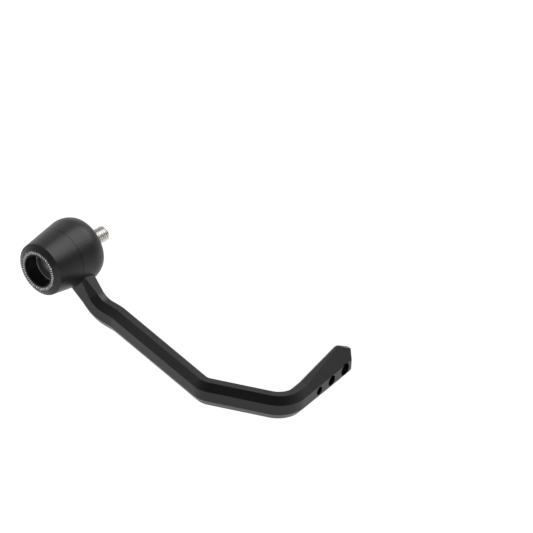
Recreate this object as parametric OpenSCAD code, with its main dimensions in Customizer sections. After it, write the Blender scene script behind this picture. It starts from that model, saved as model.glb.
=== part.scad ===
// Brake lever guard: a machined arm that reaches forward round a brake lever,
// clamped in a two-part bar end by one M8 screw that threads into the handlebar.
// Origin: middle of the face that touches the handlebar end, on the screw's axis.
// +X points outboard, +Y forward, +Z up. Millimetres.

/* [Bar end] */
// Overall length of the bar end along the screw
bar_end_l = 33; // [31:0.5:40]
// Radius of the flat ring that touches the handlebar end
seat_r = 13.2; // [12.6:0.1:13.8]
// Radius of the small round at the edge of that ring
seat_round_r = 3; // [2.5:0.1:3.5]
// Radius of the soft round that runs from there into the taper
shoulder_round_r = 11.5; // [10:0.5:13]
// Radius that the taper would have at the handlebar end
taper_start_r = 18.4; // [18.1:0.1:18.9]
// Slope of the taper towards the outboard end, in degrees
taper_angle = 8.1; // [6:0.1:9]
// Radius of the flat ring round the tool hole
front_ring_r = 11; // [10.4:0.1:12]
// Length of the bevel between that ring and the taper
front_bevel_l = 2; // [1:0.1:3]
// Open seam between the collar and the cap
seam_gap = 0.15; // [0.1:0.05:0.4]
// How far the arm's eye sits below the rim of the collar
eye_sunk = 0.2; // [0.1:0.05:0.5]

/* [Recess towards the handlebar] */
// Diameter of the recess
recess_d = 18.9; // [18:0.1:21]
// Depth of the recess down to its floor
recess_depth = 4.9; // [4:0.1:6]
// Chamfer round the mouth of the recess
recess_chamfer = 1.9; // [0.5:0.1:2.2]
// Thickness of the steel ring on that floor
ring_t = 1.5; // [1:0.1:2]
// Hole in the steel ring
ring_hole_d = 12.5; // [11:0.5:14]

/* [Screw and sleeve] */
// Thread size of the screw
screw_d = 8; // [7:0.5:8]
// Length of the screw under its head
screw_l = 35; // [30:1:45]
// Thinner shank between the thread and the head
shank_d = 7.2; // [6.8:0.1:7.6]
// How far short of the sleeve the thread stops
thread_short = 0.1; // [0.05:0.05:0.3]
// Diameter of the screw's head
head_d = 13; // [12:0.5:14]
// Height of the screw's low head
head_h = 5; // [4:0.25:6]
// Width across the flats of the hexagon socket
socket_af = 5; // [4:0.5:6]
// Depth of the hexagon socket
socket_depth = 3; // [2:0.25:3.5]
// Length of the tapered point of the screw
screw_tip_l = 1.4; // [0.8:0.1:2]
// Outside diameter of the washer under the head
washer_d = 16; // [15:0.5:16]
// Thickness of that washer
washer_t = 1.6; // [1.2:0.1:2]
// Outside diameter of the spacer sleeve
sleeve_d = 9.6; // [9.2:0.1:10.4]
// Bore of the spacer sleeve
sleeve_bore_d = 8.3; // [8.2:0.05:8.6]
// How far inside the recess the sleeve starts
sleeve_start = 3.3; // [2:0.1:4.5]
// How far the sleeve ends below the washer
sleeve_short = 0.4; // [0.2:0.1:1]
// Diameter of the tool hole at the front
tool_hole_d = 17; // [16.8:0.1:18.4]
// Depth of the tool hole down to its step
tool_hole_depth = 8; // [6:0.2:9]
// Floor of the cap under the washer
cap_floor_t = 1.5; // [1.2:0.1:3]

/* [Arm section] */
// Thickness of the arm, from its lever side to its outer side
arm_t = 8; // [7:0.1:9]
// Height of the arm
arm_h = 13.7; // [13:0.1:15]
// Width of the bevels on the outer side
bevel_w = 2.8; // [1.5:0.1:3.2]
// Height of the bevels on the outer side
bevel_h = 4; // [2:0.1:4.5]
// Chamfer along the edges of the lever side
chamfer = 1.4; // [0.5:0.1:1.8]

/* [Arm path] */
// How far outboard of the handlebar end the arm's lever side starts
arm_x = 8.2; // [7.6:0.1:10]
// Diameter of the eye round the screw
eye_d = 25; // [23:0.5:26]
// How far the arm is turned down about the screw, in degrees
clock_angle = 4.15; // [0:0.05:12]
// Drop from the screw to the middle of the level arm
drop = 20.8; // [19:0.2:24]
// Slope of the root below level, in degrees
root_angle = 41.302; // [38:0.001:46]
// Distance from the screw at which the root's bevels begin
bevel_start = 5; // [2:0.5:14]
// Round on top of the bend between the root and the level arm
root_bend_r = 9; // [6:0.5:12]
// Distance forward from the screw to the kink where the arm flares out
neck_l = 36.5; // [35:0.5:44]
// Angle by which the arm flares out at the kink, in degrees
flare_angle = 10.691; // [8:0.001:13]
// Round of the kink on its hollow side
kink_r = 18; // [10:1:20]
// Length of the long span, from the kink to the first corner
span_l = 72.2; // [60:0.5:85]
// Turn inboard at the first corner, in degrees
corner_turn = 37.719; // [34:0.001:42]
// Round of the first corner on the lever side
corner_r = 4.5; // [3:0.5:8]
// Length of the knuckle stretch, between the two corners
knuckle_l = 39.3; // [34:0.1:46]
// Turn inboard at the second corner, in degrees
tip_turn = 71.602; // [66:0.001:76]
// Round of the second corner on the lever side
tip_corner_r = 8.5; // [6:0.5:12]

/* [Blade at the tip] */
// Length of the blade, from the second corner to its end
blade_l = 53.4; // [50:0.1:60]
// Length of the blade before its bottom edge starts to fall
level_l = 1; // [0.5:0.1:4]
// Slope of the falling bottom edge, in degrees
fall_angle = 6; // [3:0.1:8]
// How much later than that the top edge starts to rise
rise_lag = 5.4; // [0:0.2:9]
// Slope of the rising top edge, in degrees
rise_angle = 8.4; // [5:0.1:11]
// Length of the slanting cut at the top of the end, along the blade
end_cut_l = 9.4; // [5:0.1:12]
// Slope of that cut, in degrees
end_cut_angle = 32; // [24:1:44]
// Round where the rising edge meets that cut
end_top_r = 6; // [3:0.5:8]
// Round at the bottom of the end
end_bottom_r = 6; // [4:0.25:7]
// Bevel between the blade's outer side and its end
end_bevel = 5; // [3:0.25:6]
// Chamfer between the blade's lever side and its end
end_chamfer = 0.9; // [0.4:0.1:1.4]
// Diameter of the hole nearest the second corner
hole_1_d = 4.6; // [3:0.1:5]
// Diameter of the middle hole
hole_2_d = 5.6; // [4:0.1:6]
// Diameter of the hole nearest the end
hole_3_d = 6.8; // [5:0.1:7]
// Distance from the second corner to the first hole
hole_1_at = 19.8; // [17:0.1:22]
// Distance between the first hole and the middle hole
hole_pitch_1 = 11; // [9:0.1:13]
// Distance between the middle hole and the last hole
hole_pitch_2 = 12; // [10:0.1:14]

/* [Hidden] */
$fn = 96;
past = 1;                // how far a cutter runs past the face that it opens
reach = 30;              // how far a cutter reaches out of the body that it trims
far = 100;               // half size of a cutter that stands for half of the space
run_out_short = 0.5;     // how far before the root's end its bevels are full

// Clearances
sleeve_play = 0.1;       // round the sleeve
ring_play = 0.1;         // round the steel ring in the recess
eye_play = 0.25;         // round the eye in the collar's pocket
slot_play = 0.1;         // above and below the root in the collar's slot
washer_play = 0.25;      // round the washer in the cap
washer_hole_play = 0.2;  // round the screw in its washer

// Stations along the screw
arm_out = arm_x + arm_t;
collar_l = arm_out + eye_sunk;
cap_start = collar_l + seam_gap;
washer_seat = arm_out + cap_floor_t;
head_seat = washer_seat + washer_t;
rim_x = bar_end_l - front_bevel_l;

// Outline of the bar end: two rounds, tangent to each other and to the taper
function taper_r(x) = taper_start_r - x * tan(taper_angle);
seat_round_c = [seat_round_r, seat_r];
shoulder_gap = shoulder_round_r - seat_round_r;
taper_normal = [sin(taper_angle), cos(taper_angle)];
taper_line = [cos(taper_angle), -sin(taper_angle)];
under_taper = (taper_start_r - seat_r) * taper_normal[1] - seat_round_r * taper_normal[0];
shoulder_sink = shoulder_round_r - under_taper;
shoulder_run = sqrt(pow(shoulder_gap, 2) - pow(shoulder_sink, 2));
shoulder_c = seat_round_c + shoulder_run * taper_line - shoulder_sink * taper_normal;
rounds_meet = seat_round_c + (seat_round_c - shoulder_c) * seat_round_r / shoulder_gap;
taper_from = shoulder_c + shoulder_round_r * taper_normal;

// The root leaves the screw's axis and bends level at the height that the drop gives
bend_mid_r = root_bend_r + arm_h / 2;
bend_tangent = bend_mid_r * tan(root_angle / 2);
root_l = drop / sin(root_angle) - bend_tangent;
level_from = drop / tan(root_angle) + bend_tangent;

// Straight length that each bend takes from its neighbours, on the lever side
kink_lever_r = kink_r + arm_t;
kink_tangent = kink_lever_r * tan(flare_angle / 2);
corner_tangent = corner_r * tan(corner_turn / 2);
tip_tangent = tip_corner_r * tan(tip_turn / 2);

// Blade, whose distances are measured from where its bottom edge starts to fall
blade_from = tip_tangent + level_l;
blade_end = blade_l - blade_from;
hole_at = [hole_1_at, hole_1_at + hole_pitch_1, hole_1_at + hole_pitch_1 + hole_pitch_2];
hole_d = [hole_1_d, hole_2_d, hole_3_d];
end_cut_from = blade_end - end_cut_l;
end_cut_h = end_cut_l * tan(end_cut_angle);
function rise(at) = max(0, at - rise_lag) * tan(rise_angle);
function fall(at) = at * tan(fall_angle);

// Slice of a disc between two points of its edge
module sector(c, r, p, q) {
    intersection() {
        translate(c) circle(r = r);
        polygon([c, 2 * p - c, 2 * q - c]);
    }
}

// Convex outline whose corners are rounded, each by its own radius
module rounded_outline(points, radii) {
    last = len(points) - 1;
    function unit(v) = v / norm(v);
    function before(i) = unit(points[i == 0 ? last : i - 1] - points[i]);
    function after(i) = unit(points[i == last ? 0 : i + 1] - points[i]);
    function half(i) = acos(before(i) * after(i)) / 2;
    function cut(i) = radii[i] / tan(half(i));
    function middle(i) = points[i] + unit(before(i) + after(i)) * radii[i] / sin(half(i));
    polygon([for (i = [0:last]) each radii[i] == 0 ? [points[i]]
             : [points[i] + cut(i) * before(i), points[i] + cut(i) * after(i)]]);
    for (i = [0:last]) {
        if (radii[i] > 0)
            sector(middle(i), radii[i], points[i] + cut(i) * before(i), points[i] + cut(i) * after(i));
    }
}

// Turns a revolved shape from the Z axis to the screw's axis
module along_screw() {
    rotate([0, 90, 0]) children();
}

module disc(d, from, to) {
    along_screw() translate([0, 0, from]) cylinder(d = d, h = to - from);
}

// Half outline of the whole bar end: distance along the screw, then radius
module bar_end_outline() {
    polygon([[0, 0], [bar_end_l, 0], [bar_end_l, front_ring_r], [rim_x, taper_r(rim_x)],
             taper_from, rounds_meet, [0, seat_r]]);
    sector(shoulder_c, shoulder_round_r, taper_from, rounds_meet);
    sector(seat_round_c, seat_round_r, rounds_meet, [0, seat_r]);
}

// Solid of revolution of the outline between two stations
module bar_end_blank(from, to) {
    along_screw() rotate_extrude() mirror([1, -1]) intersection() {
        bar_end_outline();
        translate([from, 0]) square([to - from, reach]);
    }
}

module in_arm_frame() {
    rotate([-clock_angle, 0, 0]) children();
}

// Section of the arm: distance outwards from the lever side, then height from its middle
module arm_section() {
    half = arm_h / 2;
    polygon([[0, chamfer - half], [chamfer, -half], [arm_t - bevel_w, -half],
             [arm_t, bevel_h - half], [arm_t, half - bevel_h], [arm_t - bevel_w, half],
             [chamfer, half], [0, half - chamfer]]);
}

// Extrudes a section forward, along Y
module extrude_ahead(l) {
    translate([0, l, 0]) rotate([90, 0, 0]) linear_extrude(l) children();
}

// Half of the space, in front of the origin
module ahead() {
    translate([-far, 0, -far]) cube(2 * far);
}

module behind() {
    mirror([0, 1, 0]) ahead();
}

// The next four make one stretch of the arm, and place what follows at its end
module straight(l) {
    extrude_ahead(l) arm_section();
    translate([0, l, 0]) children();
}

// Bend towards the lever side, r on that side
module bend_inboard(turn, r) {
    translate([-r, 0, 0]) {
        intersection() {
            rotate_extrude() translate([r, 0]) arm_section();
            ahead();
            rotate([0, 0, turn]) behind();
        }
        rotate([0, 0, turn]) translate([r, 0, 0]) children();
    }
}

// Bend away from the lever side, r on that side
module bend_outboard(turn, r) {
    translate([r, 0, 0]) {
        intersection() {
            rotate_extrude() translate([r, 0]) mirror([1, 0]) arm_section();
            ahead();
            rotate([0, 0, -turn]) behind();
        }
        rotate([0, 0, -turn]) translate([-r, 0, 0]) children();
    }
}

// Bend upwards in the vertical plane, r on top
module bend_up(turn, r) {
    above = r + arm_h / 2;
    translate([0, 0, above]) {
        intersection() {
            rotate([0, 90, 0]) rotate_extrude() translate([above, 0]) rotate(90) arm_section();
            ahead();
            rotate([turn, 0, 0]) behind();
        }
        rotate([turn, 0, 0]) translate([0, 0, -above]) children();
    }
}

// Stands on the root: Y runs along it, away from the screw
module in_root_frame() {
    translate([arm_x, 0, 0]) rotate([-root_angle, 0, 0]) children();
}

// Cuts the bevel that starts from nothing and has its full size shortly before the root's end
module run_out(w, h) {
    depth = w * h / norm([w, h]);
    slope = depth / (root_l - run_out_short - bevel_start);
    rotate([0, -atan2(w, h), 0]) linear_extrude(reach, center = true)
        polygon([[0, bevel_start], [reach, bevel_start], [reach, bevel_start + reach],
                 [-slope * reach, bevel_start + reach]]);
}

module root() {
    extrude_ahead(root_l) arm_section();
    difference() {
        translate([0, 0, -arm_h / 2]) cube([arm_t, root_l, arm_h]);
        for (side = [0, 1]) mirror([0, 0, side]) {
            translate([arm_t, 0, arm_h / 2]) run_out(bevel_w, bevel_h);
            translate([0, 0, arm_h / 2]) mirror([1, 0, 0]) run_out(chamfer, chamfer);
        }
    }
    translate([0, root_l, 0]) children();
}

// Side view of the blade: distance along it, then height
module blade_side_view() {
    half = arm_h / 2;
    rounded_outline([[0, -half], [blade_end, -half - fall(blade_end)],
                     [blade_end, half + rise(end_cut_from) - end_cut_h],
                     [end_cut_from, half + rise(end_cut_from)], [rise_lag, half], [0, half]],
                    [0, end_bottom_r, 0, end_top_r, 0, 0]);
}

// Section of the blade: the outer bevels run on past the lever side
module blade_section() {
    half = arm_h / 2;
    n = ceil(arm_t / bevel_w);
    inner = arm_t - n * bevel_w;
    tall = half + (n - 1) * bevel_h;
    polygon([[inner, -tall], [arm_t, bevel_h - half], [arm_t, half - bevel_h], [inner, tall]]);
}

// Cuts the lever side's chamfer along an edge
module edge_chamfer(w) {
    translate([0, -far, 0]) extrude_ahead(2 * far)
        polygon([[-past, -w - past], [w + past, past], [-past, past]]);
}

// The same along a level edge that turns away upwards at the origin, with a mitre
module turning_chamfer(w, turn) {
    intersection() {
        edge_chamfer(w);
        rotate([turn / 2, 0, 0]) behind();
    }
    intersection() {
        rotate([turn, 0, 0]) edge_chamfer(w);
        rotate([turn / 2, 0, 0]) ahead();
    }
}

module blade() {
    half = arm_h / 2;
    difference() {
        intersection() {
            extrude_ahead(blade_l) blade_section();
            rotate([90, 0, 90]) linear_extrude(arm_t + past) blade_side_view();
        }
        translate([0, rise_lag, half]) turning_chamfer(chamfer, rise_angle);
        mirror([0, 0, 1]) translate([0, 0, half]) turning_chamfer(chamfer, fall_angle);
        translate([0, end_cut_from, half + rise(end_cut_from)]) rotate([-end_cut_angle, 0, 0])
            edge_chamfer(chamfer);
        blade_end_bevels();
        for (i = [0:2]) {
            translate([-past, hole_at[i] - blade_from, 0]) rotate([0, 90, 0])
                cylinder(d = hole_d[i], h = arm_t + 2 * past);
        }
    }
}

// Upright bevels between the end of the blade and its two sides
module blade_end_bevels() {
    linear_extrude(2 * reach, center = true) {
        polygon([[arm_t + past, blade_end - end_bevel - past], [arm_t + past, blade_end + past],
                 [arm_t - end_bevel - past, blade_end + past]]);
        polygon([[-past, blade_end - end_chamfer - past], [end_chamfer + past, blade_end + past],
                 [-past, blade_end + past]]);
    }
}

// Cone that opens the mouth of the recess
module recess_mouth() {
    along_screw() translate([0, 0, -past])
        cylinder(r1 = recess_d / 2 + recess_chamfer + past, r2 = recess_d / 2, h = recess_chamfer + past);
}

module bar_end_collar() {
    color("#26262a") difference() {
        bar_end_blank(0, collar_l);
        disc(recess_d, -past, recess_depth);
        recess_mouth();
        disc(sleeve_d + 2 * sleeve_play, 0, collar_l);
        disc(eye_d + 2 * eye_play, arm_x, collar_l + past);
        in_arm_frame() in_root_frame()
            translate([0, 0, -arm_h / 2 - slot_play])
                cube([arm_t + eye_sunk + past, reach, arm_h + 2 * slot_play]);
    }
}

module bar_end_cap() {
    color("#26262a") difference() {
        union() {
            bar_end_blank(cap_start, bar_end_l);
            disc(eye_d, arm_out, cap_start);
        }
        disc(sleeve_d + 2 * sleeve_play, arm_out - past, bar_end_l);
        disc(washer_d + 2 * washer_play, washer_seat, bar_end_l);
        disc(tool_hole_d, bar_end_l - tool_hole_depth, bar_end_l + past);
    }
}

module guard_arm() {
    color("#3a3a3e") difference() {
        in_arm_frame() {
            disc(eye_d, arm_x, arm_out);
            in_root_frame() root() bend_up(root_angle, root_bend_r)
                straight(neck_l - kink_tangent - level_from)
                bend_outboard(flare_angle, kink_lever_r)
                straight(span_l - kink_tangent - corner_tangent)
                bend_inboard(corner_turn, corner_r)
                straight(knuckle_l - corner_tangent - tip_tangent)
                bend_inboard(tip_turn, tip_corner_r) straight(level_l) blade();
        }
        disc(sleeve_d + 2 * sleeve_play, arm_x - past, arm_out + past);
    }
}

module clamp_screw() {
    tip = head_seat - screw_l;
    thread_end = sleeve_start - thread_short;
    color("#b9bcc0") difference() {
        union() {
            disc(head_d, head_seat, head_seat + head_h);
            disc(shank_d, thread_end - past, head_seat);
            disc(screw_d, tip + screw_tip_l, thread_end);
            along_screw() translate([0, 0, tip])
                cylinder(r1 = screw_d / 2 - screw_tip_l * 0.7, r2 = screw_d / 2, h = screw_tip_l);
        }
        along_screw() translate([0, 0, head_seat + head_h - socket_depth])
            cylinder(d = socket_af / cos(30), h = socket_depth + past, $fn = 6);
    }
}

module head_washer() {
    color("#c8cacc") difference() {
        disc(washer_d, washer_seat, head_seat);
        disc(screw_d + 2 * washer_hole_play, washer_seat - past, head_seat + past);
    }
}

module spacer_sleeve() {
    color("#d0d2d4") difference() {
        disc(sleeve_d, sleeve_start, washer_seat - sleeve_short);
        disc(sleeve_bore_d, sleeve_start - past, washer_seat);
    }
}

module recess_ring() {
    color("#d8dadc") difference() {
        disc(recess_d - 2 * ring_play, recess_depth - ring_t, recess_depth);
        disc(ring_hole_d, recess_depth - ring_t - past, recess_depth + past);
    }
}

bar_end_collar();
bar_end_cap();
guard_arm();
clamp_screw();
head_washer();
spacer_sleeve();
recess_ring();
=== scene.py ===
"""Brake lever guard: finishes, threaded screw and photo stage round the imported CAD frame."""

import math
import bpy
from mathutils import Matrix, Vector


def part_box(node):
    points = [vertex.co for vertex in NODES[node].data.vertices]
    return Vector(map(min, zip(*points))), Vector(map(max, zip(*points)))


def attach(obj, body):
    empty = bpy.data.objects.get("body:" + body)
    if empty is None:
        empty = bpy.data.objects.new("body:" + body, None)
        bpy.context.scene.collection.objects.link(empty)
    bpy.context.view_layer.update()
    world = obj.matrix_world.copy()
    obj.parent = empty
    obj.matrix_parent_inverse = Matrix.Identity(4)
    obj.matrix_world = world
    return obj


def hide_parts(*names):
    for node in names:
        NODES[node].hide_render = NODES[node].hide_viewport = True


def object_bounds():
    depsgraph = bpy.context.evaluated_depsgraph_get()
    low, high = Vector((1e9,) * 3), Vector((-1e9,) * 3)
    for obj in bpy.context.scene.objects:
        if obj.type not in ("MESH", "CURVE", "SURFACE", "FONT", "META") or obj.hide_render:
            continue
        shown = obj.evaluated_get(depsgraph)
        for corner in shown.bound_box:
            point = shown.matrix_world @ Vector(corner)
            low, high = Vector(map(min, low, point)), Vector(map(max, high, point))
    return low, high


bl_info = {
    "name": "Brake Lever Guard",
    "version": (1, 0, 0),
    "blender": (4, 5, 0),
    "location": "View3D > Sidebar > Lever Guard",
    "description": "Dresses the brake lever guard: black metal, bright steel and a white stage",
    "category": "Object",
}

import bmesh
import bpy
from bpy.props import FloatProperty, FloatVectorProperty, IntProperty, PointerProperty
from bpy.types import Operator, Panel, PropertyGroup
from mathutils import Vector

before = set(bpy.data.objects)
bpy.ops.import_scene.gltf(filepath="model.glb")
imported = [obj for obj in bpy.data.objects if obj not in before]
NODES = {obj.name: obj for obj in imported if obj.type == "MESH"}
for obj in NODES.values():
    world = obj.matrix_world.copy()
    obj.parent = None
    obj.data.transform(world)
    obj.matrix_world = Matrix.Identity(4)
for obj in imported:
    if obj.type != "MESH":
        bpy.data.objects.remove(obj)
CAD_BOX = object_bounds()

MM = 0.001

# The photograph's view, taken with a very long lens. The width is that of the frame, and the last
# two give its middle, seen from the guard's origin.
PHOTO_AZIMUTH = math.radians(132.65)
PHOTO_ELEVATION = math.radians(32.43)
PHOTO_WIDTH = 267.3 * MM
PHOTO_RIGHT = 92.1 * MM
PHOTO_DOWN = 10.7 * MM


# Settings that a user would change


class BarEndSettings(PropertyGroup):
    colour: FloatVectorProperty(
        name="Colour", description="Colour of the black anodised bar end", subtype="COLOR",
        size=3, min=0, max=1, default=(0.0036, 0.0036, 0.0038))
    roughness: FloatProperty(
        name="Roughness", description="Roughness of its satin finish", subtype="FACTOR",
        min=0.05, max=1, default=0.36)
    groove_pitch: FloatProperty(
        name="Groove pitch", description="Distance between the turned grooves of the front ring",
        subtype="DISTANCE", min=0.05 * MM, max=1 * MM, default=0.25 * MM)
    # The same colour paints the highlight on the step and the light in the pocket of the tool hole.
    mark_colour: FloatVectorProperty(
        name="Mark colour", description="Colour of the laser marks on the front ring",
        subtype="COLOR", size=3, min=0, max=1, default=(0.68, 0.68, 0.68))
    edge_round: FloatProperty(
        name="Edge round", description="Width of the broken edges", subtype="DISTANCE",
        min=0, max=1 * MM, default=0.05 * MM)


class ArmSettings(PropertyGroup):
    colour: FloatVectorProperty(
        name="Colour", description="Colour of the black anodised arm", subtype="COLOR",
        size=3, min=0, max=1, default=(0.0026, 0.0026, 0.0028))
    roughness: FloatProperty(
        name="Roughness", description="Roughness of its blasted finish", subtype="FACTOR",
        min=0.05, max=1, default=0.34)
    grain: FloatProperty(
        name="Grain", description="Size of the blasted grain", subtype="DISTANCE",
        min=0.02 * MM, max=1 * MM, default=0.22 * MM)
    edge_round: FloatProperty(
        name="Edge round", description="Width of the broken edges", subtype="DISTANCE",
        min=0, max=1 * MM, default=0.3 * MM)


class ScrewSettings(PropertyGroup):
    colour: FloatVectorProperty(
        name="Colour", description="Colour of the plated steel", subtype="COLOR",
        size=3, min=0, max=1, default=(0.87, 0.84, 0.81))
    head_tint: FloatVectorProperty(
        name="Head tint", description="Colour that the head takes from the oil film on it",
        subtype="COLOR", size=3, min=0, max=1, default=(0.3, 0.26, 0.23))
    pitch: FloatProperty(
        name="Thread pitch", description="Distance between two turns of the thread",
        subtype="DISTANCE", min=0.5 * MM, max=2 * MM, default=1.25 * MM)
    depth: FloatProperty(
        name="Thread depth", description="Depth of the thread", subtype="DISTANCE",
        min=0.1 * MM, max=1 * MM, default=0.62 * MM)
    plain_point: FloatProperty(
        name="Plain point", description="Length of the point that carries no thread",
        subtype="DISTANCE", min=0.5 * MM, max=4 * MM, default=0.95 * MM)
    segments: IntProperty(
        name="Segments", description="Segments round the screw", min=48, max=192, default=96)


class SteelSettings(PropertyGroup):
    washer_colour: FloatVectorProperty(
        name="Washer colour", description="Colour of the washer and of the recess ring",
        subtype="COLOR", size=3, min=0, max=1, default=(0.84, 0.84, 0.83))
    sleeve_colour: FloatVectorProperty(
        name="Sleeve colour", description="Colour of the spacer sleeve", subtype="COLOR",
        size=3, min=0, max=1, default=(0.62, 0.61, 0.6))
    edge_round: FloatProperty(
        name="Edge round", description="Width of the broken edges", subtype="DISTANCE",
        min=0, max=0.5 * MM, default=0.15 * MM)


class StageSettings(PropertyGroup):
    floor_colour: FloatVectorProperty(
        name="Floor colour", description="Colour of the floor", subtype="COLOR",
        size=3, min=0, max=1, default=(0.92, 0.92, 0.92))
    floor_drop: FloatProperty(
        name="Floor drop", description="Gap between the guard's lowest point and the floor",
        subtype="DISTANCE", min=0, max=0.5, default=0.05)
    front_level: FloatProperty(
        name="Front level", description="Level of the dim light from the camera's side",
        subtype="FACTOR", min=0, max=1, default=0.1)
    back_level: FloatProperty(
        name="Back level", description="Level of the light from behind the guard",
        subtype="FACTOR", min=0, max=1, default=0.9)
    softbox_power: FloatProperty(
        name="Softbox power", description="Power of the softbox overhead", unit="POWER",
        min=0, max=100, default=16.5)
    softbox_width: FloatProperty(
        name="Softbox width", description="Width of the softbox overhead", subtype="DISTANCE",
        min=0.1, max=5, default=1.5)
    fill_power: FloatProperty(
        name="Fill power", description="Power of the soft fill light at the front of the bar end",
        unit="POWER", min=0, max=100, default=18.0)
    camera_distance: FloatProperty(
        name="Camera distance", description="Distance from the camera to the guard",
        subtype="DISTANCE", min=0.5, max=12, default=10.0)


SETTINGS = {
    "guard_bar_end": BarEndSettings,
    "guard_arm": ArmSettings,
    "guard_screw": ScrewSettings,
    "guard_steel": SteelSettings,
    "guard_stage": StageSettings,
}


# Node helpers


class Shader:
    """A material's node tree, with short calls that add and link its nodes."""

    def __init__(self, name):
        self.material = bpy.data.materials.new(name)
        self.material.use_nodes = True
        self.tree = self.material.node_tree
        self.surface = self.tree.nodes["Principled BSDF"]
        self.output = self.tree.nodes["Material Output"]

    def node(self, kind, links=None, **values):
        """Adds a node. values set its properties, links its inputs by name or number."""
        made = self.tree.nodes.new(kind)
        for key, value in values.items():
            setattr(made, key, value)
        for key, value in (links or {}).items():
            socket = made.inputs[key]
            if isinstance(value, bpy.types.NodeSocket):
                self.tree.links.new(value, socket)
            else:
                socket.default_value = value
        return made

    def link(self, source, name):
        """Feeds an input of the surface from a node."""
        self.tree.links.new(source, self.surface.inputs[name])

    def feed(self, name):
        """Socket that feeds an input of the surface so far."""
        return self.surface.inputs[name].links[0].from_socket

    def set(self, **values):
        """Sets inputs of the surface to plain values."""
        for key, value in values.items():
            self.surface.inputs[key.replace("_", " ")].default_value = value

    def position(self):
        """Place on the guard, in metres."""
        return self.node("ShaderNodeTexCoord").outputs["Object"]

    def place(self):
        """The place's X, Y and Z as separate outputs."""
        return self.node("ShaderNodeSeparateXYZ", {0: self.position()}).outputs

    def noise(self, scale, detail=2.0, roughness=0.5):
        return self.node(
            "ShaderNodeTexNoise",
            {"Vector": self.position(), "Scale": scale, "Detail": detail,
             "Roughness": roughness}).outputs["Fac"]

    def math(self, operation, a, b=0.0):
        return self.node("ShaderNodeMath", {0: a, 1: b}, operation=operation).outputs[0]

    def ramp(self, value, low, high, to_low=0.0, to_high=1.0):
        """Runs from to_low to to_high while value runs from low to high."""
        return self.node(
            "ShaderNodeMapRange",
            {"Value": value, "From Min": low, "From Max": high, "To Min": to_low,
             "To Max": to_high}).outputs["Result"]

    def mix_colour(self, factor, a, b):
        """Mixes two colours. In this node input 0 is the factor, and 6 and 7 are the colours."""
        return self.node(
            "ShaderNodeMix", {0: factor, 6: a, 7: b}, data_type="RGBA").outputs[2]

    def bump(self, height, strength, distance, normal=None):
        links = {"Height": height, "Strength": strength, "Distance": distance}
        if normal is not None:
            links["Normal"] = normal
        return self.node("ShaderNodeBump", links).outputs["Normal"]

    def radius(self):
        """Distance from the screw's axis, in metres."""
        parts = self.place()
        across = self.node("ShaderNodeCombineXYZ", {1: parts["Y"], 2: parts["Z"]})
        return self.node(
            "ShaderNodeVectorMath", {0: across.outputs[0]}, operation="LENGTH").outputs["Value"]

    def along_screw(self):
        """Place along the screw's axis, in metres."""
        return self.place()["X"]


def rgba(colour, factor=1.0):
    """Colour with alpha, made darker or paler by the factor."""
    return (*(c * factor for c in colour), 1.0)


# Finishes


# Black anodising. The edges' limits are values of pointiness.
ANODISED_IOR = 1.5
ANODISED_CLOUD = 7 * MM
CLOUD_DARKER, CLOUD_PALER = 0.85, 1.2
EDGE_FROM, EDGE_TO = 0.53, 0.62
SCUFF_SIZE = 1.5 * MM
SCUFF_SHARE, SCUFF_PALER = 0.35, 5
GRAINS_PER_SPECK = 3
SPECK_SMOOTHER, SPECK_ROUGHER = 0.03, 0.05
GRAIN_STRENGTH, GRAIN_HEIGHT = 0.3, 0.03 * MM


def black_anodised(name, colour, roughness, grain):
    """Black anodised aluminium: fine grain, a faint cloudiness and paler worn edges."""
    s = Shader(name)
    s.set(IOR=ANODISED_IOR)
    cloud = s.ramp(s.noise(1 / ANODISED_CLOUD, 3.0), 0.35, 0.65)
    tone = s.mix_colour(cloud, rgba(colour, CLOUD_DARKER), rgba(colour, CLOUD_PALER))
    pointiness = s.node("ShaderNodeNewGeometry").outputs["Pointiness"]
    patches = s.ramp(s.noise(1 / SCUFF_SIZE, 4.0), 0.4, 0.7)
    scuffed = s.math("MULTIPLY", s.ramp(pointiness, EDGE_FROM, EDGE_TO), patches)
    scuffed = s.math("MULTIPLY", scuffed, SCUFF_SHARE)
    s.link(s.mix_colour(scuffed, tone, rgba(colour, SCUFF_PALER)), "Base Color")
    speck = s.noise(1 / (GRAINS_PER_SPECK * grain), 2.0, 0.7)
    s.link(s.ramp(speck, 0.3, 0.7, roughness - SPECK_SMOOTHER, roughness + SPECK_ROUGHER),
           "Roughness")
    s.link(s.bump(s.noise(1 / grain, 2.0, 0.6), GRAIN_STRENGTH, GRAIN_HEIGHT), "Normal")
    return s


# Bright steel. The painted shade's limits are values of ambient occlusion: it darkens the colour in
# creases, thread roots and where parts meet.
STEEL_CLOUD = 3 * MM
CLOUD_ROUGHER, CLOUD_SMOOTHER = 0.06, 0.03
CREASE_SHADE_REACH, CREASE_SHADE_TONE = 0.8 * MM, 0.12
CREASE_SHADE_FROM, CREASE_SHADE_FULL = 0.75, 0.2
TURNED_HEIGHT, TURNED_PATCH = 0.01 * MM, 2 * MM


def turned(s, pitch, strength):
    """Adds the fine rings that turning leaves on a surface round the screw's axis."""
    ring = s.math("ADD", s.radius(), s.along_screw())
    wave = s.math("SINE", s.math("MULTIPLY", ring, 2 * math.pi / pitch))
    patches = s.ramp(s.noise(1 / TURNED_PATCH), 0.3, 0.7, 0.4, 1.0)
    s.link(s.bump(s.math("MULTIPLY", wave, patches), strength, TURNED_HEIGHT), "Normal")


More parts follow.
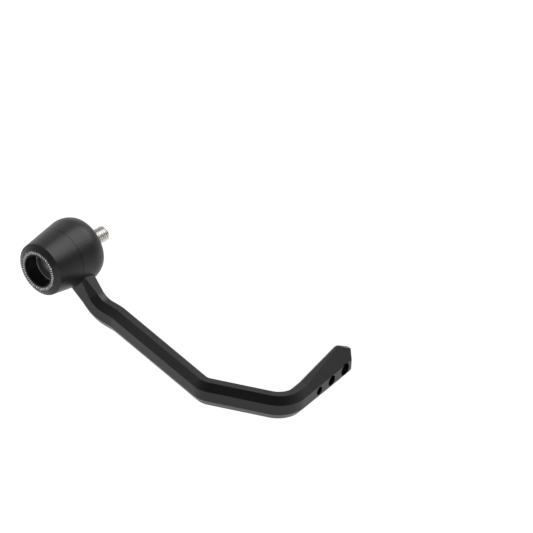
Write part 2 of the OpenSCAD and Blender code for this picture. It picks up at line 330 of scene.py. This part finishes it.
def bright_steel(name, colour, roughness, pitch, crease_shade=0.25, marks=0.2, cloudy=0.12):
    """Bright steel with turning marks, and painted shade in creases and where parts meet."""
    s = Shader(name)
    s.set(Metallic=1.0)
    cloud = s.ramp(s.noise(1 / STEEL_CLOUD, 4.0), 0.35, 0.7)
    tone = s.mix_colour(cloud, rgba(colour, 1 - cloudy), rgba(colour))
    open_to_light = s.node(
        "ShaderNodeAmbientOcclusion", {"Distance": CREASE_SHADE_REACH}, samples=8).outputs["AO"]
    # Painted shade: the colour darkens where ambient occlusion finds creases, thread roots and
    # nearby parts.
    painted_crease_shade = s.math("MULTIPLY", s.ramp(open_to_light, CREASE_SHADE_FROM, CREASE_SHADE_FULL), crease_shade)
    s.link(s.mix_colour(painted_crease_shade, tone, rgba(colour, CREASE_SHADE_TONE)), "Base Color")
    s.link(s.ramp(cloud, 0, 1, roughness + CLOUD_ROUGHER, roughness - CLOUD_SMOOTHER),
           "Roughness")
    turned(s, pitch, marks)
    return s


# Mesh helpers


# Limits for joining the tessellated faces, and for the edges that are rounded
SHARP_EDGE = math.radians(24)
SAME_FLAT = math.radians(0.4)
SAME_POINT = 0.0005 * MM
LARGE_FACE_WEIGHT = 100


def shade_by_large_faces(piece):
    """Keeps the large faces flat in the shading and bends only the narrow ones between them."""
    shading = piece.modifiers.new("shade by the large faces", "WEIGHTED_NORMAL")
    shading.keep_sharp = True
    shading.weight = LARGE_FACE_WEIGHT


def soften_edges(piece, width):
    """Rounds a CAD node's edges with modifiers, which leave its own vertices as they are."""
    weld = piece.modifiers.new("join the faces", "WELD")
    weld.merge_threshold = SAME_POINT
    flat = piece.modifiers.new("merge the flats", "DECIMATE")
    flat.decimate_type = "DISSOLVE"
    flat.angle_limit = SAME_FLAT
    edge = piece.modifiers.new("break the edges", "BEVEL")
    edge.width = width
    edge.segments = 2
    edge.limit_method = "ANGLE"
    edge.angle_limit = SHARP_EDGE
    edge.use_clamp_overlap = True
    shade_by_large_faces(piece)


def finish(piece, material):
    """Gives the piece its one material."""
    piece.data.materials.clear()
    piece.data.materials.append(material)


def rings_to_mesh(name, rings):
    """Closed skin over rings of points round the screw's axis, with a cap at each end."""
    mesh = bmesh.new()
    rows = [[mesh.verts.new(p) for p in ring] for ring in rings]
    count = len(rows[0])
    for low, high in zip(rows, rows[1:]):
        for i in range(count):
            j = (i + 1) % count
            mesh.faces.new((low[i], low[j], high[j], high[i]))
    mesh.faces.new(rows[0][::-1])
    mesh.faces.new(rows[-1])
    bmesh.ops.recalc_face_normals(mesh, faces=mesh.faces)
    data = bpy.data.meshes.new(name)
    mesh.to_mesh(data)
    mesh.free()
    piece = bpy.data.objects.new(name, data)
    bpy.context.scene.collection.objects.link(piece)
    return piece


# Pieces


class GUARD_OT_bar_end(Operator):
    """Finish the collar and the cap of the bar end"""

    bl_idname = "guard.bar_end"
    bl_label = "Bar end"

    GRAIN = 0.12 * MM

    # Flat ring at the front, which lies outboard of RING_X and within RING_R
    RING_X, RING_R = 32.9 * MM, 11.1 * MM
    RING_ROUGHER = 0.2
    GROOVE_STRENGTH, GROOVE_HEIGHT = 0.35, 0.02 * MM

    # Laser marks on it, whose width is a share of the way from one to the next
    MARKS, LONG_MARK_EVERY = 52, 4
    MARK_WIDTH = 0.46
    MARK_IN, MARK_OUT, LONG_MARK_OUT = 9.2 * MM, 10.6 * MM, 10.9 * MM
    WEAR_SIZE, WORN_TO = 0.8 * MM, 0.4

    # Step in the tool hole and pocket behind it, painted paler: a painted highlight along the step
    # and fainter painted reflected light in the pocket
    HOLE_R = 8.6 * MM
    STEP_X, STEP_TOLERANCE = 25.0 * MM, 0.06 * MM
    STEP_BARE, POCKET_BARE = 0.55, 0.13

    def grooves(self, s, given, radius, ring):
        """Fine turned grooves on the flat ring, which is rougher than the cone."""
        wave = s.math("SINE", s.math("MULTIPLY", radius, 2 * math.pi / given.groove_pitch))
        height = s.math("MULTIPLY", wave, ring)
        s.link(s.bump(height, self.GROOVE_STRENGTH, self.GROOVE_HEIGHT, s.feed("Normal")),
               "Normal")
        rougher = s.math("MULTIPLY", ring, self.RING_ROUGHER)
        s.link(s.math("ADD", s.feed("Roughness"), rougher), "Roughness")

    def marks(self, s, radius, ring):
        """Share of the laser marks' colour: a scale round the ring, with every few marks longer."""
        parts = s.place()
        turn = s.math("ARCTAN2", parts["Z"], parts["Y"])
        step = s.math("MULTIPLY", turn, self.MARKS / (2 * math.pi))
        mark = s.math("LESS_THAN", s.math("FRACT", step), self.MARK_WIDTH)
        group = s.math("FRACT", s.math("DIVIDE", step, self.LONG_MARK_EVERY))
        is_long = s.math("LESS_THAN", group, 1 / self.LONG_MARK_EVERY)
        reach = s.ramp(is_long, 0, 1, self.MARK_OUT, self.LONG_MARK_OUT)
        between = s.math("MULTIPLY", s.math("GREATER_THAN", radius, self.MARK_IN),
                         s.math("LESS_THAN", radius, reach))
        marked = s.math("MULTIPLY", s.math("MULTIPLY", mark, between), ring)
        wear = s.ramp(s.noise(1 / self.WEAR_SIZE), 0.4, 0.6, self.WORN_TO, 1.0)
        return s.math("MULTIPLY", marked, wear)

    def painted_light_in_hole(self, s, radius, along):
        """Share of painted light in the tool hole: a painted highlight along the step and fainter
        painted light in the pocket behind it.
        """
        step = s.node("ShaderNodeMath", {0: along, 1: self.STEP_X, 2: self.STEP_TOLERANCE},
                      operation="COMPARE").outputs[0]
        pocket = s.math("LESS_THAN", along, self.STEP_X)
        # Painted highlight on the step, fainter painted light in the pocket.
        painted_light = s.math("MAXIMUM", s.math("MULTIPLY", step, self.STEP_BARE),
                      s.math("MULTIPLY", pocket, self.POCKET_BARE))
        return s.math("MULTIPLY", painted_light, s.math("LESS_THAN", radius, self.HOLE_R))

    def dress_cap(self, s, given):
        """Adds what only the cap has: its flat ring with the marks, and the painted light in its
        tool hole.
        """
        radius, along = s.radius(), s.along_screw()
        ring = s.math("MULTIPLY", s.math("GREATER_THAN", along, self.RING_X),
                      s.math("LESS_THAN", radius, self.RING_R))
        self.grooves(s, given, radius, ring)
        # pale mixes the laser marks with the painted highlight and painted light in the tool hole.
        pale = s.math("MAXIMUM", self.marks(s, radius, ring), self.painted_light_in_hole(s, radius, along))
        s.link(s.mix_colour(pale, s.feed("Base Color"), rgba(given.mark_colour)), "Base Color")

    def execute(self, context):
        given = context.scene.guard_bar_end
        for node in ("bar_end_collar", "bar_end_cap"):
            s = black_anodised(f"{node}_satin_black", given.colour, given.roughness, self.GRAIN)
            if node == "bar_end_cap":
                self.dress_cap(s, given)
            finish(NODES[node], s.material)
            soften_edges(NODES[node], given.edge_round)
        return {"FINISHED"}


class GUARD_OT_arm(Operator):
    """Finish the guard arm"""

    bl_idname = "guard.arm"
    bl_label = "Guard arm"

    def execute(self, context):
        given = context.scene.guard_arm
        s = black_anodised("arm_matt_black", given.colour, given.roughness, given.grain)
        finish(NODES["guard_arm"], s.material)
        soften_edges(NODES["guard_arm"], given.edge_round)
        return {"FINISHED"}


class GUARD_OT_screw(Operator):
    """Make the threaded cap screw with its socket"""

    bl_idname = "guard.screw"
    bl_label = "Clamp screw"

    POINT_R, POINT_L = 3.45 * MM, 0.7 * MM
    POINT_EDGE = 0.08 * MM
    THREAD_R, THREAD_END = 4.0 * MM, 3.2 * MM
    ROWS_PER_TURN = 20

    # Shares of the way from a crest's middle to a root's, and turns over which the thread runs in
    CREST, ROOT = 0.16, 0.76
    RUN_TURNS = 0.5

    SHANK_R = 3.6 * MM
    NECK_R, NECK_L = 0.3 * MM, 0.4 * MM
    HEAD_R, HEAD_H = 6.5 * MM, 5.0 * MM
    HEAD_LOWER_EDGE, HEAD_CHAMFER = 0.2 * MM, 0.45 * MM
    SOCKET_FLAT = 2.5 * MM
    SOCKET_MOUTH_R, SOCKET_MOUTH_L = 3.05 * MM, 0.25 * MM
    SOCKET_DEPTH = 3.0 * MM
    DRILL_DEPTH = 0.5 * MM

    # Shares of the radius: flat of the point, edge of the drill mark in the socket, its bottom
    POINT_FLAT, DRILL_EDGE, DRILL_FLAT = 0.3, 0.8, 0.2

    # Steeper than the edges of the thread, which stay smooth
    SHARP = math.radians(62)

    ROUGHNESS = 0.26
    TURNED_PITCH = 0.3 * MM
    HEAD_ROUGHER = 0.18
    HEAD_DULLED = 0.35
    FILM_BLEND = 1 * MM

    def thread_radius(self, x, angle, start, given):
        """Radius of the thread there: flat crest, straight flanks, flat root."""
        turn = ((x - start) / given.pitch - angle / (2 * math.pi)) % 1.0
        from_crest = abs(turn * 2 - 1)
        down = min(max((from_crest - self.CREST) / (self.ROOT - self.CREST), 0), 1)
        run = self.RUN_TURNS * given.pitch
        run_in = min(max((x - start) / run, 0), 1)
        run_out = min(max((self.THREAD_END - x) / run, 0), 1)
        return self.THREAD_R - given.depth * down * run_in * run_out

    def hexagon(self, angle):
        """Radius of the hexagon socket at that angle."""
        sixth = math.pi / 3
        return self.SOCKET_FLAT / math.cos((angle % sixth) - sixth / 2)

    def rings(self, given, tip, seat, top):
        """Rings of points from the point to the bottom of the socket."""
        angles = [2 * math.pi * i / given.segments for i in range(given.segments)]

        def ring(x, radius):
            size = radius if callable(radius) else (lambda angle: radius)
            return [(x, size(a) * math.cos(a), size(a) * math.sin(a)) for a in angles]

        start = tip + given.plain_point
        point = [
            ring(tip, self.POINT_FLAT * self.POINT_R),
            ring(tip, self.POINT_R - self.POINT_EDGE),
            ring(tip + self.POINT_EDGE, self.POINT_R),
            ring(tip + self.POINT_L, self.THREAD_R),
        ]
        thread = []
        rows = round((self.THREAD_END - start) / given.pitch * self.ROWS_PER_TURN)
        for row in range(rows + 1):
            x = start + (self.THREAD_END - start) * row / rows
            thread.append(ring(x, lambda a: self.thread_radius(x, a, start, given)))
        shank = [
            ring(self.THREAD_END, self.SHANK_R),
            ring(seat - self.NECK_L, self.SHANK_R),
            ring(seat, self.SHANK_R + self.NECK_R),
        ]
        head = [
            ring(seat, self.HEAD_R - self.HEAD_LOWER_EDGE),
            ring(seat + self.HEAD_LOWER_EDGE, self.HEAD_R),
            ring(top - self.HEAD_CHAMFER, self.HEAD_R),
            ring(top, self.HEAD_R - self.HEAD_CHAMFER),
        ]
        floor = top - self.SOCKET_DEPTH
        socket = [
            ring(top, self.SOCKET_MOUTH_R),
            ring(top - self.SOCKET_MOUTH_L, self.hexagon),
            ring(floor, self.hexagon),
            ring(floor, lambda a: self.DRILL_EDGE * self.hexagon(a)),
            ring(floor - self.DRILL_DEPTH, self.DRILL_FLAT * self.SOCKET_FLAT),
        ]
        return point + thread + shank + head + socket

    def plating(self, given, seat):
        """Zinc plating, which an oil film dulls on the head."""
        # Strong painted shade in the roots of the thread.
        s = bright_steel("zinc_plated_steel", given.colour, self.ROUGHNESS, self.TURNED_PITCH,
                         crease_shade=0.6, marks=0.02, cloudy=0.04)
        in_head = s.ramp(s.along_screw(), seat - self.FILM_BLEND, seat)
        rougher = s.math("MULTIPLY", in_head, self.HEAD_ROUGHER)
        s.link(s.math("ADD", s.feed("Roughness"), rougher), "Roughness")
        dulled = s.math("MULTIPLY", in_head, self.HEAD_DULLED)
        s.link(s.mix_colour(dulled, s.feed("Base Color"), rgba(given.head_tint)), "Base Color")
        return s

    def execute(self, context):
        given = context.scene.guard_screw
        low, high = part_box("clamp_screw")
        seat = high.x - self.HEAD_H
        screw = rings_to_mesh("screw_with_thread", self.rings(given, low.x, seat, high.x))
        screw.data.shade_smooth()
        screw.data.set_sharp_from_angle(angle=self.SHARP)
        shade_by_large_faces(screw)
        finish(screw, self.plating(given, seat).material)
        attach(screw, "root")
        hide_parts("clamp_screw")
        return {"FINISHED"}


class GUARD_OT_steel(Operator):
    """Finish the washer, the recess ring and the spacer sleeve"""

    bl_idname = "guard.steel"
    bl_label = "Washer, ring and sleeve"

    WASHER_ROUGHNESS, WASHER_PITCH = 0.3, 0.12 * MM
    SLEEVE_ROUGHNESS, SLEEVE_PITCH = 0.34, 0.1 * MM

    def execute(self, context):
        given = context.scene.guard_steel
        # The washers, ring and sleeve keep the default painted shade where they meet other parts.
        steel = bright_steel("washer_bright_steel", given.washer_colour,
                             self.WASHER_ROUGHNESS, self.WASHER_PITCH)
        for node in ("head_washer", "recess_ring"):
            finish(NODES[node], steel.material)
            soften_edges(NODES[node], given.edge_round)
        tube = bright_steel("sleeve_turned_steel", given.sleeve_colour,
                            self.SLEEVE_ROUGHNESS, self.SLEEVE_PITCH)
        finish(NODES["spacer_sleeve"], tube.material)
        soften_edges(NODES["spacer_sleeve"], given.edge_round / 2)
        return {"FINISHED"}


# Stage


def photo_axes():
    """Unit vectors of the photograph: right, up and back towards the camera."""
    a, e = PHOTO_AZIMUTH, PHOTO_ELEVATION
    right = Vector((math.cos(a), math.sin(a), 0))
    back = Vector((math.sin(a) * math.cos(e), -math.cos(a) * math.cos(e), math.sin(e)))
    return right, back.cross(right), back


class GUARD_OT_stage(Operator):
    """Set the floor, the white studio, the lamps and the camera"""

    bl_idname = "guard.stage"
    bl_label = "Stage"

    FLOOR_HALF = 6.0
    FLOOR_ROUGHNESS = 0.9
    FLOOR_GLOW = 1.13
    FLOOR_REFLECTED = 0.4
    FLOOR_SHADOW = 0.3
    SHADOW_FADES, SHADOW_GONE = 0.15, 0.5

    # Cosine of the angle to the camera's side where the studio's light is full and where it is dim
    FULL_AT, DIM_AT = -0.85, 0.95

    SOFTBOX_TOWARDS, SOFTBOX_DISTANCE = Vector((-0.42, 0.22, 0.85)), 1.6
    FILL_TOWARDS, FILL_DISTANCE = Vector((0.85, 0.1, 0.35)), 2.0
    FILL_WIDTH = 1.4
    SENSOR_WIDTH = 36.0

    def floor_white(self, given, middle):
        """White that keeps a soft shadow near the guard, and is clear when seen from below."""
        s = Shader("floor_white")
        s.set(Base_Color=rgba(given.floor_colour), Roughness=self.FLOOR_ROUGHNESS,
              Specular_IOR_Level=0.0)
        path = s.node("ShaderNodeLightPath").outputs
        reflected = s.math("MAXIMUM", path["Is Glossy Ray"], path["Is Transmission Ray"])
        seen = s.math("MAXIMUM", path["Is Camera Ray"],
                      s.math("MULTIPLY", reflected, self.FLOOR_REFLECTED))
        away = s.node("ShaderNodeVectorMath", {0: s.position(), 1: middle}, operation="DISTANCE")
        plain = s.ramp(away.outputs["Value"], self.SHADOW_FADES, self.SHADOW_GONE,
                       1 - self.FLOOR_SHADOW, 1.0)
        white = s.node("ShaderNodeEmission", {"Color": (1, 1, 1, 1), "Strength": self.FLOOR_GLOW})
        above = s.node("ShaderNodeMixShader",
                       {0: s.math("MULTIPLY", seen, plain), 1: s.surface.outputs[0],
                        2: white.outputs[0]})
        below = s.node("ShaderNodeBsdfTransparent")
        side = s.node("ShaderNodeNewGeometry").outputs["Backfacing"]
        both = s.node("ShaderNodeMixShader",
                      {0: side, 1: above.outputs[0], 2: below.outputs[0]})
        s.tree.links.new(both.outputs[0], s.output.inputs["Surface"])
        return s

    def floor(self, given, low, middle):
        half = self.FLOOR_HALF
        mesh = bpy.data.meshes.new("floor")
        z = low.z - given.floor_drop
        corners = [(middle.x + x * half, middle.y + y * half, z)
                   for x, y in ((-1, -1), (1, -1), (1, 1), (-1, 1))]
        mesh.from_pydata(corners, [], [(0, 1, 2, 3)])
        floor = bpy.data.objects.new("floor", mesh)
        finish(floor, self.floor_white(given, middle).material)
        return floor

    def lamp(self, name, towards, distance, aim, width, power):
        """Soft square lamp that points at the guard."""
        data = bpy.data.lights.new(name, "AREA")
        data.shape = "SQUARE"
        data.size = width
        data.energy = power
        lamp = bpy.data.objects.new(name, data)
        lamp.location = aim + towards.normalized() * distance
        lamp.rotation_euler = (-towards).to_track_quat("-Z", "Y").to_euler()
        bpy.context.scene.collection.objects.link(lamp)
        return lamp

    def world(self, scene, given, back):
        """White studio whose light is dim on the photograph's side and full behind the guard."""
        world = bpy.data.worlds.new("white_studio")
        world.use_nodes = True
        nodes, links = world.node_tree.nodes, world.node_tree.links
        towards = nodes.new("ShaderNodeTexCoord").outputs["Generated"]
        facing = nodes.new("ShaderNodeVectorMath")
        facing.operation = "DOT_PRODUCT"
        facing.inputs[1].default_value = back
        links.new(towards, facing.inputs[0])
        level = nodes.new("ShaderNodeMapRange")
        for name, value in (("From Min", self.FULL_AT), ("From Max", self.DIM_AT),
                            ("To Min", given.back_level), ("To Max", given.front_level)):
            level.inputs[name].default_value = value
        links.new(facing.outputs["Value"], level.inputs["Value"])
        path = nodes.new("ShaderNodeLightPath")
        strength = nodes.new("ShaderNodeMath")
        strength.operation = "MAXIMUM"
        links.new(path.outputs["Is Camera Ray"], strength.inputs[0])
        links.new(level.outputs["Result"], strength.inputs[1])
        background = nodes["Background"]
        background.inputs["Color"].default_value = (1, 1, 1, 1)
        links.new(strength.outputs[0], background.inputs["Strength"])
        scene.world = world

    def camera(self, scene, given, right, up, back):
        """Camera with the photograph's view. Past 12 m the other views would clip the guard."""
        data = bpy.data.cameras.new("photo_camera")
        data.sensor_width = self.SENSOR_WIDTH
        data.lens = data.sensor_width * given.camera_distance / PHOTO_WIDTH
        camera = bpy.data.objects.new("photo_camera", data)
        target = right * PHOTO_RIGHT - up * PHOTO_DOWN
        camera.location = target + back * given.camera_distance
        camera.rotation_euler = back.to_track_quat("Z", "Y").to_euler()
        scene.collection.objects.link(camera)
        scene.camera = camera

    def execute(self, context):
        scene = context.scene
        given = scene.guard_stage
        low, high = CAD_BOX
        middle = (low + high) / 2
        right, up, back = photo_axes()
        floor = self.floor(given, low, middle)
        scene.collection.objects.link(floor)
        self.world(scene, given, back)
        self.lamp("softbox", self.SOFTBOX_TOWARDS, self.SOFTBOX_DISTANCE, middle,
                  given.softbox_width, given.softbox_power)
        fill = self.lamp("fill", self.FILL_TOWARDS, self.FILL_DISTANCE, middle,
                         self.FILL_WIDTH, given.fill_power)
        fill.visible_glossy = False
        self.camera(scene, given, right, up, back)
        scene.view_settings.view_transform = "Standard"
        return {"FINISHED"}


OPERATORS = (GUARD_OT_bar_end, GUARD_OT_arm, GUARD_OT_screw, GUARD_OT_steel, GUARD_OT_stage)


class GUARD_PT_sidebar(Panel):
    """Lists the guard's pieces and their settings"""

    bl_label = "Brake Lever Guard"
    bl_space_type = "VIEW_3D"
    bl_region_type = "UI"
    bl_category = "Lever Guard"

    def draw(self, context):
        for operator, group in zip(OPERATORS, SETTINGS):
            box = self.layout.box()
            box.operator(operator.bl_idname)
            for name in SETTINGS[group].__annotations__:
                box.prop(getattr(context.scene, group), name)


def register():
    for group, kind in SETTINGS.items():
        bpy.utils.register_class(kind)
        setattr(bpy.types.Scene, group, PointerProperty(type=kind))
    for kind in (*OPERATORS, GUARD_PT_sidebar):
        bpy.utils.register_class(kind)


def unregister():
    for kind in (GUARD_PT_sidebar, *reversed(OPERATORS)):
        bpy.utils.unregister_class(kind)
    for group, kind in reversed(SETTINGS.items()):
        delattr(bpy.types.Scene, group)
        bpy.utils.unregister_class(kind)


def main():
    """Builds the scene."""
    register()
    bpy.ops.guard.bar_end()
    bpy.ops.guard.arm()
    bpy.ops.guard.screw()
    bpy.ops.guard.steel()
    bpy.ops.guard.stage()


if __name__ == "__main__":
    main()
